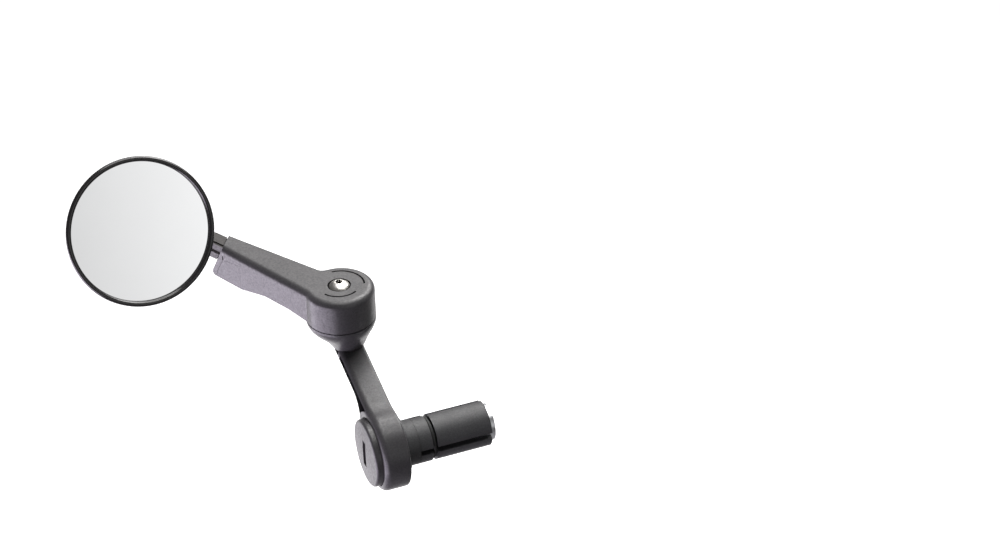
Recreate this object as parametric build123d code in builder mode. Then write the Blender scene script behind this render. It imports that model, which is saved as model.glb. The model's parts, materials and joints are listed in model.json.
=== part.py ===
from build123d import *
import os
from math import asin, cos, degrees, radians, sin, sqrt, tan

# Bar end mirror for a bicycle: an expander plug in the bar, a lever that turns on it, a folding arm
# on a spring loaded knuckle, and a round convex mirror on a ball joint.
# Millimetres. The origin is on the bar's axis at the bar's end: +X runs into the bar, +Y forward, +Z up.

# Clearances
running_clearance = 0.05
face_gap = 0.1
shadow_gap = 0.3
seam_gap = 0.45
bolt_clearance = 0.3

# Expander plug
plug_radius = 8.9
plug_spigot_length = 4.5
flange_radius = 11.0
flange_thickness = 1.6
hub_radius = 6.0
hub_length = 1.6
bolt_radius = 3.0
bolt_head_radius = 5.0
bolt_head_height = 4.0
bolt_key_width = 4.0
bolt_key_depth = 2.2
bolt_washer_radius = 6.0
bolt_washer_thickness = 1.0
jaw_count = 3
jaw_length = 29.0
jaw_split_angle = 16.0
cone_angle = 6.0
cone_length = 28.0
cone_draw_room = 3.0
cone_small_radius = 4.3
jaw_ring_wire_radius = 0.7
jaw_ring_inset = 6.0
jaw_ring_room = 0.25

# Lower arm: boss, lever and knuckle cup
boss_radius = 15.7
boss_width = 10.5
boss_floor = 3.6
cap_seat_radius = 13.5
cap_seat_depth = 2.6
cap_well_radius = 11.0
lever_rise = 15.5
lever_offset = 7.8
lever_thickness = 5.8
lever_nose = 6.5
lever_top_blend = 20.0
lever_low_blend = 8.0
lever_outer_flat = 0.6
lever_inner_round = 0.9
lever_rail = 1.4
lever_pocket_depth = 3.6
lever_pocket_end = 39.0
lever_bridge = 2.0
lever_slit_length = 5.0
knuckle_x = -8.7
knuckle_y = 40.0
seam_z = 37.0
knuckle_radius = 13.5
cup_rim = 1.4
cup_belly_depth = 5.5
cup_belly_radius = 11.5
cup_belly_shift = 0.5
cup_neck_depth = 9.5
cup_neck_radius = 8.7
cup_neck_shift = 1.5
cup_waist_depth = 12.3
cup_waist_radius = 7.1
cup_waist_shift = 2.0
cup_foot_inset = 0.25
cup_sink = 4.2
knuckle_hub_radius = 6.0
knuckle_hub_height = 5.0
friction_outer_radius = 12.4
friction_thickness = 0.7
insert_radius = 3.0
insert_length = 8.0
insert_inset = 0.5

# End cap
cap_proud = 2.6
cap_crown = 0.5
cap_round = 1.0
cap_wall = 2.4
cap_skirt_length = 2.0
cap_skirt_wall = 1.4
cap_slot_length = 11.2
cap_slot_width = 3.2
cap_slot_depth = 1.4
cap_slot_round = 0.5

# Upper arm
arm_heading = 29.35
drum_height = 13.75
arm_near_root = 12.3
arm_far_root = 5.3
arm_taper = 4.0
arm_depth = 12.3
arm_tip_depth = 15.2
arm_tip_x = 53.5
arm_tip_skew = 27.8
arm_tip_lean = 28.0
arm_ramp_start = 4.0
arm_ramp_end = 17.0
arm_slope_start = 30.5
arm_slope_end = 44.3
arm_edge_round = 2.6
arm_corner_round = 1.6
drum_far_blend = 3.0
drum_near_blend = 4.0
arm_wall = 2.2
arm_rib = 1.8
arm_bay_end = 40.0
panel_thickness = 0.8
panel_margin = 2.2
panel_length = 10.0
panel_top_drop = 5.6
panel_rise = 1.3
panel_gap = 0.12
panel_notch_width = 0.5
panel_notch_height = 1.9

# Knuckle screw and spring
screw_radius = 2.0
screw_head_radius = 4.0
screw_head_height = 2.5
screw_head_skirt = 0.6
screw_length = 16.0
screw_key_radius = 1.3
screw_key_depth = 1.3
screw_recess_radius = 4.5
screw_recess_depth = 0.8
spring_well_radius = 4.3
spring_radius = 3.4
spring_wire_radius = 0.45
spring_turns = 3
spring_length = 4.6
spring_plate_thickness = 0.8

# Mirror head
mirror_forward = 69.4
mirror_near = 34.7
mirror_rise = 15.0
mirror_yaw = 3.7
mirror_pitch = 23.1
bezel_radius = 29.2
bezel_width = 2.1
bezel_hold = 0.4
bezel_taper = 0.9
bezel_bead = 1.1
bezel_lip = 1.6
bezel_depth = 3.8
bezel_round = 0.85
glass_curvature = 500.0
glass_thickness = 1.8
glass_edge_gap = 0.15
pad_margin = 2.95
pad_thickness = 0.6
housing_wall = 0.6
housing_round = 0.5
housing_back_depth = 9.4
housing_swell_inset = 7.5
housing_swell = 2.8
ball_radius = 5.5
ball_depth = 13.5
ball_clearance = 0.1
liner_thickness = 1.4
liner_mouth_angle = 52.0
liner_front_angle = 35.0
socket_mouth_angle = 50.0
socket_wall = 1.85
socket_reach = 0.5
nut_wall = 2.0
nut_lip = 0.6
nut_gap = 0.6
nut_shoulder = 2.0
nut_flutes = 12
nut_flute_radius = 1.2
nut_flute_depth = 0.5

# Mirror stem
stem_width = 7.2
stem_height = 7.4
stem_near = 3.95
stem_drop = 4.4
stem_step_width = 1.7
stem_step_depth = 1.4
stem_slope_drop = 2.6
stem_round = 0.9
stem_elbow_x = 67.0
stem_elbow_radius = 10.0
tenon_width = 6.0
tenon_height = 6.4
tenon_start = 46.3
tip_gap = 0.3
stud_radius = 3.0
stud_length = 15.0
stud_boss_radius = 5.5
stud_boss_height = 10.0
stud_boss_round = 1.5

os.makedirs("parts", exist_ok=True)


def cone_radius(x):
    """Radius of the expander's taper at a place along the bar."""
    return cone_small_radius + (x - cone_start) * tan(radians(cone_angle))


def near_edge(x):
    """Near side of the upper arm, across from the knuckle's centre, at a distance along the arm."""
    return arm_near_root - x * tan(radians(arm_taper))


def far_edge(x):
    """Far side of the upper arm, measured the same way."""
    return x * tan(radians(arm_taper)) - arm_far_root


def lever_point(along, across):
    """A point of the lever's side view, from the bar's axis along and across the lever."""
    rise = radians(lever_rise)
    return (along * cos(rise) - across * sin(rise), along * sin(rise) + across * cos(rise))


# Places along the bar
jaw_start = plug_spigot_length + face_gap
cone_start = jaw_start + cone_draw_room
cone_end = cone_start + cone_length
boss_rear_x = -flange_thickness - face_gap
boss_front_x = boss_rear_x - boss_width
boss_floor_x = boss_rear_x - boss_floor
cap_seat_x = boss_front_x + cap_seat_depth
bolt_seat_x = boss_floor_x - bolt_washer_thickness
bolt_hole_radius = bolt_radius + bolt_clearance

# Planes of the knuckle and the upper arm: x runs along the arm, y to its near side
arm_direction = Vector(-sin(radians(arm_heading)), cos(radians(arm_heading)), 0)
arm_near_side = Vector(0, 0, 1).cross(arm_direction)
seam_plane = Plane(origin=(knuckle_x, knuckle_y, seam_z), x_dir=arm_direction, z_dir=(0, 0, 1))
cup_plane = Plane(origin=seam_plane.origin, x_dir=(1, 0, 0), z_dir=(0, 0, 1))
top_plane = seam_plane.offset(drum_height)
arm_side_plane = Plane(origin=seam_plane.origin, x_dir=arm_direction, z_dir=-arm_near_side)
knuckle_axis = Axis(seam_plane.origin, (0, 0, 1))
knuckle_section = Plane(origin=seam_plane.origin, x_dir=(1, 0, 0), z_dir=(0, -1, 0))

# The arm's slanting end
skew = radians(arm_tip_skew)
lean = radians(arm_tip_lean)
tip_point = top_plane.from_local_coords(Vector(arm_tip_x, near_edge(arm_tip_x), 0))
tip_edge = arm_direction * sin(skew) - arm_near_side * cos(skew)
tip_fall = arm_direction * sin(lean) - Vector(0, 0, 1) * cos(lean)
tip_plane = Plane(origin=tip_point, x_dir=tip_edge, z_dir=tip_edge.cross(tip_fall))

# The mirror's frame: z is the way the glass faces
mirror_origin = top_plane.from_local_coords(Vector(mirror_forward, mirror_near, mirror_rise))
yaw = radians(mirror_yaw)
pitch = radians(mirror_pitch)
mirror_normal = Vector(sin(yaw) * cos(pitch), -cos(yaw) * cos(pitch), sin(pitch))
mirror_right = Vector(0, 0, 1).cross(mirror_normal).normalized()
mirror_axis = Axis(mirror_origin, mirror_normal)
mirror_section = Plane(origin=mirror_origin, x_dir=mirror_right, z_dir=mirror_right.cross(mirror_normal))
ball_centre = mirror_origin - mirror_normal * ball_depth
ball_plane = Plane(origin=ball_centre, x_dir=mirror_right, z_dir=mirror_normal)
stem_end = ball_centre - mirror_normal * stud_length

# Plug collar: flange on the bar's end, hub for the lower arm and spigot in the bar
with BuildPart() as plug_collar:
    with BuildSketch(Plane.XY):
        with BuildLine():
            Polyline(
                (-flange_thickness - hub_length, bolt_hole_radius),
                (-flange_thickness - hub_length, hub_radius),
                (-flange_thickness, hub_radius),
                (-flange_thickness, flange_radius),
                (0, flange_radius),
                (0, plug_radius),
                (plug_spigot_length, plug_radius),
                (plug_spigot_length, bolt_hole_radius),
                close=True,
            )
        make_face()
    revolve(axis=Axis.X)
plug_collar.part.label = "plug_collar"
export_step(plug_collar.part, "parts/plug_collar.step")

# Tapered nut that the bolt draws into the jaws
with BuildPart() as expander_cone:
    with BuildSketch(Plane.XY):
        with BuildLine():
            Polyline(
                (cone_start, bolt_radius + running_clearance),
                (cone_start, cone_radius(cone_start)),
                (cone_end, cone_radius(cone_end)),
                (cone_end, bolt_radius + running_clearance),
                close=True,
            )
        make_face()
    revolve(axis=Axis.X)
expander_cone.part.label = "expander_cone"
export_step(expander_cone.part, "parts/expander_cone.step")

# Jaws: segments of one tapered sleeve, with a groove for the ring
jaw_end = jaw_start + jaw_length
jaw_ring_x = jaw_start + jaw_ring_inset
jaw_ring_radius = plug_radius - 2 * jaw_ring_wire_radius
groove_half = jaw_ring_wire_radius + jaw_ring_room
for jaw_index in range(jaw_count):
    jaw_turn = jaw_index * 360 / jaw_count - (360 / jaw_count - jaw_split_angle) / 2
    with BuildPart() as expander_jaw:
        with BuildSketch(Plane.XY.rotated((jaw_turn, 0, 0))):
            with BuildLine():
                Polyline(
                    (jaw_start, cone_radius(jaw_start) + running_clearance),
                    (jaw_end, cone_radius(jaw_end) + running_clearance),
                    (jaw_end, plug_radius),
                    (jaw_ring_x + groove_half, plug_radius),
                    (jaw_ring_x + groove_half, jaw_ring_radius - groove_half),
                    (jaw_ring_x - groove_half, jaw_ring_radius - groove_half),
                    (jaw_ring_x - groove_half, plug_radius),
                    (jaw_start, plug_radius),
                    close=True,
                )
            make_face()
        revolve(axis=Axis.X, revolution_arc=360 / jaw_count - jaw_split_angle)
    jaw_name = f"expander_jaw_{jaw_index + 1}"
    expander_jaw.part.label = jaw_name
    export_step(expander_jaw.part, f"parts/{jaw_name}.step")

# Ring that keeps the jaws together
with BuildPart() as jaw_ring:
    with BuildSketch(Plane.XY):
        with Locations((jaw_ring_x, jaw_ring_radius)):
            Circle(jaw_ring_wire_radius)
    revolve(axis=Axis.X)
jaw_ring.part.label = "jaw_ring"
export_step(jaw_ring.part, "parts/jaw_ring.step")

# Socket head bolt
with BuildPart() as expander_bolt:
    with BuildSketch(Plane.YZ.offset(bolt_seat_x)):
        Circle(bolt_head_radius)
    extrude(amount=-bolt_head_height)
    with BuildSketch(Plane.YZ.offset(bolt_seat_x)):
        Circle(bolt_radius)
    extrude(amount=cone_end - bolt_seat_x)
    with BuildSketch(Plane.YZ.offset(bolt_seat_x - bolt_head_height)):
        RegularPolygon(bolt_key_width / 2, 6, major_radius=False)
    extrude(amount=bolt_key_depth, mode=Mode.SUBTRACT)
expander_bolt.part.label = "expander_bolt"
export_step(expander_bolt.part, "parts/expander_bolt.step")

with BuildPart() as bolt_washer:
    with BuildSketch(Plane.YZ.offset(boss_floor_x)):
        Circle(bolt_washer_radius)
        Circle(bolt_hole_radius, mode=Mode.SUBTRACT)
    extrude(amount=-bolt_washer_thickness)
bolt_washer.part.label = "bolt_washer"
export_step(bolt_washer.part, "parts/bolt_washer.step")

# Lower arm: boss and lever as one plate, pocketed on its outer face, with the knuckle's cup on its end
lever_end = (knuckle_y + lever_nose) / cos(radians(lever_rise)) + lever_offset * tan(radians(lever_rise))
lever_top = lever_offset + lever_thickness
lever_middle = (boss_front_x + boss_rear_x) / 2
lever_outer_round = (lever_thickness - lever_outer_flat) / 2
nose_round = lever_thickness / 2 - face_gap
slit_start = lever_pocket_end + lever_bridge
pocket_mouth_x = knuckle_x - knuckle_radius
foot_along = (knuckle_y + lever_top * sin(radians(lever_rise))) / cos(radians(lever_rise))
foot_z = lever_point(foot_along, lever_top)[1]
cup_top = -seam_gap
cup_sections = (
    (cup_rim, knuckle_radius, 0),
    (cup_belly_depth, cup_belly_radius, cup_belly_shift),
    (cup_neck_depth, cup_neck_radius, cup_neck_shift),
    (cup_waist_depth, cup_waist_radius, cup_waist_shift),
    (seam_z - foot_z + cup_sink, boss_width / 2 - cup_foot_inset, lever_middle - knuckle_x),
)
friction_top = -face_gap
friction_floor = friction_top - friction_thickness
insert_top = knuckle_hub_height - insert_inset
insert_bottom = insert_top - insert_length
with BuildPart() as lower_arm:
    with BuildSketch(Plane.YZ.offset(boss_rear_x)) as lever_outline:
        Circle(boss_radius)
        with BuildLine():
            Polyline(
                lever_point(0, lever_offset),
                lever_point(lever_end, lever_offset),
                lever_point(lever_end, lever_top),
                lever_point(0, lever_top),
                close=True,
            )
        make_face()
        corners = lever_outline.vertices().sort_by_distance(lever_point(boss_radius, lever_offset))
        fillet(corners[0], lever_low_blend)
        corners = lever_outline.vertices().sort_by_distance(lever_point(lever_offset, lever_top))
        fillet(corners[0], lever_top_blend)
        corners = lever_outline.vertices().sort_by_distance(lever_point(lever_end, lever_offset))
        fillet(corners[:2], nose_round)
    extrude(amount=-boss_width)
    fillet(lower_arm.faces().sort_by(Axis.X)[0].edges(), lever_outer_round)
    fillet(lower_arm.faces().sort_by(Axis.X)[-1].edges(), lever_inner_round)
    # Cup: round sections from the knuckle's rim through a neck into the lever's middle
    with BuildSketch(cup_plane.offset(cup_top)):
        Circle(knuckle_radius)
    extrude(amount=-cup_rim - cup_top)
    for section_depth, section_radius, section_shift in cup_sections:
        with BuildSketch(cup_plane.offset(-section_depth)):
            with Locations((section_shift, 0)):
                Circle(section_radius)
    loft()
    # Pocket and slit between the lever's rails
    with BuildSketch(Plane.YZ.offset(pocket_mouth_x)):
        add(lever_outline.sketch_local)
        offset(amount=-lever_rail)
        Circle(boss_radius, mode=Mode.SUBTRACT)
        with BuildLine():
            Polyline(
                lever_point(lever_pocket_end, 0),
                lever_point(slit_start, 0),
                lever_point(slit_start, boss_radius),
                lever_point(lever_pocket_end, boss_radius),
                close=True,
            )
        make_face(mode=Mode.SUBTRACT)
        with BuildLine():
            Polyline(
                lever_point(slit_start + lever_slit_length, 0),
                lever_point(slit_start + lever_end, 0),
                lever_point(slit_start + lever_end, boss_radius),
                lever_point(slit_start + lever_slit_length, boss_radius),
                close=True,
            )
        make_face(mode=Mode.SUBTRACT)
    extrude(amount=boss_front_x + lever_pocket_depth - pocket_mouth_x, mode=Mode.SUBTRACT)
    # Seats of the cap, the bolt and the plug's hub, bored along the bar's axis
    with BuildSketch(Plane.XY):
        with BuildLine():
            Polyline(
                (boss_front_x, 0),
                (boss_front_x, cap_seat_radius),
                (cap_seat_x, cap_seat_radius),
                (cap_seat_x, cap_well_radius),
                (boss_floor_x, cap_well_radius),
                (boss_floor_x, bolt_hole_radius),
                (boss_rear_x - hub_length, bolt_hole_radius),
                (boss_rear_x - hub_length, hub_radius + running_clearance),
                (boss_rear_x, hub_radius + running_clearance),
                (boss_rear_x, 0),
                close=True,
            )
        make_face()
    revolve(axis=Axis.X, mode=Mode.SUBTRACT)
    # Hub of the knuckle, seat of the friction washer and hole of the threaded insert
    with BuildSketch(seam_plane.offset(cup_top)):
        Circle(friction_outer_radius + face_gap)
    extrude(amount=friction_floor - cup_top, mode=Mode.SUBTRACT)
    with BuildSketch(seam_plane.offset(friction_floor)):
        Circle(knuckle_hub_radius)
    extrude(amount=knuckle_hub_height - friction_floor)
    with BuildSketch(seam_plane.offset(knuckle_hub_height)):
        Circle(insert_radius + running_clearance)
    extrude(amount=insert_bottom - insert_inset - knuckle_hub_height, mode=Mode.SUBTRACT)
lower_arm.part.label = "lower_arm"
export_step(lower_arm.part, "parts/lower_arm.step")

# End cap with a coin slot, domed on its face and hollow behind
cap_front_x = boss_front_x - cap_proud
cap_rear_x = cap_seat_x - face_gap
cap_radius = cap_seat_radius - shadow_gap
cap_skirt_radius = cap_well_radius - running_clearance
cap_skirt_x = cap_rear_x + cap_skirt_length
cap_dome = (cap_radius**2 + cap_crown**2) / (2 * cap_crown)
cap_dome_angle = degrees(asin(cap_radius / cap_dome))
with BuildPart() as end_cap:
    with BuildSketch(Plane.XY) as cap_section:
        with BuildLine():
            Polyline(
                (cap_front_x - cap_crown, 0),
                (cap_front_x - cap_crown + cap_wall, 0),
                (cap_front_x - cap_crown + cap_wall, cap_skirt_radius - cap_skirt_wall),
                (cap_skirt_x, cap_skirt_radius - cap_skirt_wall),
                (cap_skirt_x, cap_skirt_radius),
                (cap_rear_x, cap_skirt_radius),
                (cap_rear_x, cap_radius),
                (cap_front_x, cap_radius),
            )
            CenterArc((cap_front_x - cap_crown + cap_dome, 0), cap_dome, 180 - cap_dome_angle, cap_dome_angle)
        make_face()
        fillet(cap_section.vertices().sort_by_distance((cap_front_x, cap_radius))[0], cap_round)
    revolve(axis=Axis.X)
    with BuildSketch(Plane.YZ.offset(cap_front_x - cap_crown)):
        RectangleRounded(cap_slot_width, cap_slot_length, cap_slot_round)
    extrude(amount=cap_slot_depth, mode=Mode.SUBTRACT)
end_cap.part.label = "end_cap"
export_step(end_cap.part, "parts/end_cap.step")

with BuildPart() as friction_washer:
    with BuildSketch(seam_plane.offset(friction_floor)):
        Circle(friction_outer_radius)
        Circle(knuckle_hub_radius + face_gap, mode=Mode.SUBTRACT)
    extrude(amount=friction_thickness)
friction_washer.part.label = "friction_washer"
export_step(friction_washer.part, "parts/friction_washer.step")

with BuildPart() as threaded_insert:
    with BuildSketch(seam_plane.offset(insert_bottom)):
        Circle(insert_radius)
        Circle(screw_radius + running_clearance, mode=Mode.SUBTRACT)
    extrude(amount=insert_length)
threaded_insert.part.label = "threaded_insert"
export_step(threaded_insert.part, "parts/threaded_insert.step")

# Knuckle screw: domed head in the drum's recess, its shank through spring and web into the insert
screw_seat = drum_height - screw_recess_depth
plate_bottom = screw_seat - spring_plate_thickness
web_top = plate_bottom - spring_length
web_bottom = knuckle_hub_height + shadow_gap
screw_crown = screw_seat + screw_head_height
screw_dome_height = screw_head_height - screw_head_skirt
screw_dome = (screw_head_radius**2 + screw_dome_height**2) / (2 * screw_dome_height)
screw_dome_angle = degrees(asin(screw_head_radius / screw_dome))
with BuildPart() as knuckle_screw:
    with BuildSketch(knuckle_section):
        with BuildLine():
            Polyline(
                (0, screw_crown),
                (0, screw_seat - screw_length),
                (screw_radius, screw_seat - screw_length),
                (screw_radius, screw_seat),
                (screw_head_radius, screw_seat),
                (screw_head_radius, screw_seat + screw_head_skirt),
            )
            CenterArc((0, screw_crown - screw_dome), screw_dome, 90 - screw_dome_angle, screw_dome_angle)
        make_face()
    revolve(axis=knuckle_axis)
    with BuildSketch(seam_plane.offset(screw_crown)):
        RegularPolygon(screw_key_radius, 6, major_radius=False)
    extrude(amount=-screw_key_depth, mode=Mode.SUBTRACT)
knuckle_screw.part.label = "knuckle_screw"
export_step(knuckle_screw.part, "parts/knuckle_screw.step")

with BuildPart() as spring_plate:
    with BuildSketch(seam_plane.offset(plate_bottom)):
        Circle(spring_well_radius - shadow_gap)
        Circle(screw_radius + running_clearance, mode=Mode.SUBTRACT)
    extrude(amount=spring_plate_thickness)
spring_plate.part.label = "spring_plate"
export_step(spring_plate.part, "parts/spring_plate.step")

# Coil spring between the web and the plate
coil_height = spring_length - face_gap - 2 * spring_wire_radius
coil_plane = seam_plane.offset(web_top + face_gap + spring_wire_radius)
with BuildPart() as knuckle_spring:
    with BuildLine(coil_plane):
        coil = Helix(coil_height / spring_turns, coil_height, spring_radius)
    with BuildSketch(Plane(origin=coil @ 0, z_dir=coil % 0)):
        Circle(spring_wire_radius)
    sweep(path=coil, is_frenet=True)
knuckle_spring.part.label = "knuckle_spring"
export_step(knuckle_spring.part, "parts/knuckle_spring.step")

# Upper arm: drum and arm in one moulding, cored from below, its end cut on a slant
arm_reach = arm_tip_x + arm_tip_depth
arm_under = drum_height - arm_depth
tip_under = drum_height - arm_tip_depth
bay_length = (arm_bay_end - knuckle_radius - arm_wall - arm_rib) / 2
stem_start = top_plane.from_local_coords(Vector(tenon_start, stem_near, -stem_drop))
stem_plane = Plane(origin=stem_start, x_dir=arm_near_side, z_dir=arm_direction)
near_direction = arm_direction * cos(radians(arm_taper)) - arm_near_side * sin(radians(arm_taper))
near_origin = top_plane.from_local_coords(Vector(0, near_edge(0), 0))
near_plane = Plane(origin=near_origin, x_dir=near_direction, z_dir=near_direction.cross(Vector(0, 0, 1)))


def panel_outline(inset):
    """Corners of the side panel's outline on the arm's near face, drawn in from its pocket by a gap."""
    slope = tan(lean)
    tip_line = arm_tip_x - panel_margin - inset
    top = panel_top_drop + inset
    inner = tip_line + slope * panel_top_drop - panel_length + 2 * inset
    return (
        (tip_line + slope * top, -top),
        (tip_line + slope * arm_tip_depth, -arm_tip_depth),
        (inner, -arm_tip_depth),
        (inner, panel_rise - top),
    )


with BuildPart() as upper_arm:
    with BuildSketch(seam_plane) as arm_outline:
        Circle(knuckle_radius)
        with BuildLine():
            Polyline(
                (0, far_edge(0)),
                (arm_reach, far_edge(arm_reach)),
                (arm_reach, near_edge(arm_reach)),
                (0, near_edge(0)),
                close=True,
            )
        make_face()
        corners = arm_outline.vertices().sort_by_distance((knuckle_radius, -arm_far_root))
        fillet(corners[0], drum_far_blend)
        corners = arm_outline.vertices().sort_by_distance((knuckle_radius - arm_far_root, arm_near_root))
        fillet(corners[0], drum_near_blend)
    extrude(amount=drum_height)
    # The underside rises from the drum, and the tip is deeper than the rest, with a slope between
    with BuildSketch(seam_plane):
        with BuildLine():
            Polyline(
                (arm_slope_start, far_edge(arm_slope_start)),
                (arm_reach, far_edge(arm_reach)),
                (arm_reach, near_edge(arm_reach)),
                (arm_slope_start, near_edge(arm_slope_start)),
                close=True,
            )
        make_face()
    extrude(amount=tip_under)
    with BuildSketch(arm_side_plane):
        with BuildLine():
            Polyline(
                (arm_ramp_start, tip_under - arm_depth),
                (arm_ramp_start, 0),
                (arm_ramp_end, arm_under),
                (arm_slope_start, arm_under),
                (arm_slope_end, tip_under),
                (arm_reach, tip_under),
                (arm_reach, tip_under - arm_depth),
                close=True,
            )
        make_face()
    extrude(amount=2 * knuckle_radius, both=True, mode=Mode.SUBTRACT)
    with BuildSketch(seam_plane):
        Circle(knuckle_radius)
    extrude(amount=drum_height)
    split(bisect_by=tip_plane, keep=Keep.BOTTOM)
    tip_face = upper_arm.faces().sort_by(Axis(tip_point, arm_direction))[-1]
    fillet(tip_face.edges().sort_by(Axis.Z)[0], arm_corner_round)
    top_face = upper_arm.faces().sort_by(Axis.Z)[-1]
    fillet(top_face.edges().sort_by(Axis(tip_point, arm_direction))[:-1], arm_edge_round)
    # Bore for the hub, web, spring well and screw recess
    with BuildSketch(knuckle_section):
        with BuildLine():
            Polyline(
                (0, 0),
                (knuckle_hub_radius + running_clearance, 0),
                (knuckle_hub_radius + running_clearance, web_bottom),
                (screw_radius + bolt_clearance, web_bottom),
                (screw_radius + bolt_clearance, web_top),
                (spring_well_radius, web_top),
                (spring_well_radius, screw_seat),
                (screw_recess_radius, screw_seat),
                (screw_recess_radius, drum_height),
                (0, drum_height),
                close=True,
            )
        make_face()
    revolve(axis=knuckle_axis, mode=Mode.SUBTRACT)
    # Two bays under the arm with a rib between them
    for bay in range(2):
        bay_start = knuckle_radius + arm_wall + bay * (bay_length + arm_rib)
        bay_end = bay_start + bay_length
        with BuildSketch(seam_plane.offset(tip_under)):
            with BuildLine():
                Polyline(
                    (bay_start, far_edge(bay_start) + arm_wall),
                    (bay_end, far_edge(bay_end) + arm_wall),
                    (bay_end, near_edge(bay_end) - arm_wall),
                    (bay_start, near_edge(bay_start) - arm_wall),
                    close=True,
                )
            make_face()
        extrude(amount=arm_tip_depth - arm_wall, mode=Mode.SUBTRACT)
    # Socket for the stem's tenon
    with BuildSketch(stem_plane.offset(-face_gap)):
        Rectangle(tenon_width + 2 * face_gap, tenon_height + 2 * face_gap)
    extrude(amount=arm_reach - tenon_start, mode=Mode.SUBTRACT)
    # Pocket for the side panel, with a notch to lift it out
    with BuildSketch(near_plane):
        with BuildLine():
            Polyline(*panel_outline(0), close=True)
        make_face()
        with Locations(panel_outline(0)[0]):
            Rectangle(panel_notch_width, panel_notch_height, align=(Align.MAX, Align.MIN))
    extrude(amount=panel_thickness, mode=Mode.SUBTRACT)
upper_arm.part.label = "upper_arm"
export_step(upper_arm.part, "parts/upper_arm.step")

with BuildPart() as arm_side_panel:
    with BuildSketch(near_plane.offset(running_clearance)):
        with BuildLine():
            Polyline(*panel_outline(panel_gap), close=True)
        make_face()
    extrude(amount=panel_thickness - running_clearance)
arm_side_panel.part.label = "arm_side_panel"
export_step(arm_side_panel.part, "parts/arm_side_panel.step")

# Mirror stem: tenon, bar with a stepped near side and one elbow, and a ball on a stud
stem_elbow = top_plane.from_local_coords(Vector(stem_elbow_x, stem_near, -stem_drop))
stud_plane = Plane(origin=stem_end, x_dir=mirror_right, z_dir=mirror_normal)
stem_half_width = stem_width / 2
stem_half_height = stem_height / 2
step_foot = stem_half_height - stem_step_depth
with BuildPart() as mirror_stem:
    with BuildSketch(stud_plane.offset(-stud_boss_height / 2)):
        Circle(stud_boss_radius)
    extrude(amount=stud_boss_height)
    fillet(mirror_stem.edges().filter_by(GeomType.CIRCLE), stud_boss_round)
    with BuildSketch(stud_plane):
        Circle(stud_radius)
    extrude(amount=stud_length)
    with Locations(ball_plane.location):
        Sphere(ball_radius)
    with BuildLine() as stem_path:
        FilletPolyline(stem_start, stem_elbow, stem_end, radius=stem_elbow_radius)
    with BuildSketch(stem_plane) as stem_section:
        with BuildLine():
            Polyline(
                (-stem_half_width, -stem_half_height),
                (stem_half_width, -stem_half_height),
                (stem_half_width, step_foot - stem_slope_drop),
                (stem_half_width - stem_step_width, step_foot),
                (stem_half_width - stem_step_width, stem_half_height),
                (-stem_half_width, stem_half_height),
                close=True,
            )
        make_face()
        for side in (-1, 1):
            low_place = (side * stem_half_width, -stem_half_height)
            fillet(stem_section.vertices().sort_by_distance(low_place)[0], stem_round)
        far_corner = stem_section.vertices().sort_by_distance((-stem_half_width, stem_half_height))[0]
        fillet(far_corner, stem_round)
    sweep()
    split(bisect_by=tip_plane.offset(tip_gap), keep=Keep.TOP)
    with BuildSketch(stem_plane):
        Rectangle(tenon_width, tenon_height)
    extrude(amount=stem_elbow_x - stem_elbow_radius / 2 - tenon_start)
mirror_stem.part.label = "mirror_stem"
export_step(mirror_stem.part, "parts/mirror_stem.step")

# Mirror head, turned about the way the glass faces
bezel_opening = bezel_radius - bezel_width
bezel_inner = bezel_opening + bezel_hold
bezel_back_radius = bezel_radius - bezel_taper
glass_radius = bezel_inner - glass_edge_gap
pad_radius = glass_radius - pad_margin
glass_sag = glass_curvature - sqrt(glass_curvature**2 - glass_radius**2)
glass_front = -bezel_lip - face_gap
glass_back = glass_front - glass_thickness
glass_angle = degrees(asin(glass_radius / glass_curvature))
pad_centre = glass_back + glass_sag - face_gap - glass_curvature
pad_edge = pad_centre + sqrt(glass_curvature**2 - pad_radius**2)
pad_angle = degrees(asin(pad_radius / glass_curvature))
floor_front = glass_back - pad_thickness
rim_front = -bezel_depth - face_gap
rim_radius = bezel_back_radius - face_gap
dome_start = floor_front - housing_wall
cavity_radius = ball_radius + liner_thickness + 2 * ball_clearance
socket_radius = cavity_radius + socket_wall
socket_end = -ball_depth - socket_reach
with BuildPart() as bezel_ring:
    with BuildSketch(mirror_section) as bezel_section:
        with BuildLine():
            Polyline(
                (bezel_opening, 0),
                (bezel_radius, 0),
                (bezel_radius, -bezel_bead),
                (bezel_back_radius, -bezel_depth),
                (bezel_inner, -bezel_depth),
                (bezel_inner, -bezel_lip),
                (bezel_opening, -bezel_lip),
                close=True,
            )
        make_face()
        fillet(bezel_section.vertices().group_by(Axis.Y)[-1], bezel_round)
    revolve(axis=mirror_axis)
bezel_ring.part.label = "bezel_ring"
export_step(bezel_ring.part, "parts/bezel_ring.step")

with BuildPart() as mirror_glass:
    with BuildSketch(mirror_section):
        with BuildLine():
            for glass_face in (glass_front, glass_back):
                glass_centre = (0, glass_face + glass_sag - glass_curvature)
                CenterArc(glass_centre, glass_curvature, 90 - glass_angle, glass_angle)
            Line((glass_radius, glass_front), (glass_radius, glass_back))
            Line((0, glass_back + glass_sag), (0, glass_front + glass_sag))
        make_face()
    revolve(axis=mirror_axis)
mirror_glass.part.label = "mirror_glass"
export_step(mirror_glass.part, "parts/mirror_glass.step")

with BuildPart() as glass_pad:
    with BuildSketch(mirror_section):
        with BuildLine():
            CenterArc((0, pad_centre), glass_curvature, 90 - pad_angle, pad_angle)
            Polyline(
                (pad_radius, pad_edge),
                (pad_radius, floor_front),
                (0, floor_front),
                (0, pad_centre + glass_curvature),
            )
        make_face()
    revolve(axis=mirror_axis)
glass_pad.part.label = "glass_pad"
export_step(glass_pad.part, "parts/glass_pad.step")

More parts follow.
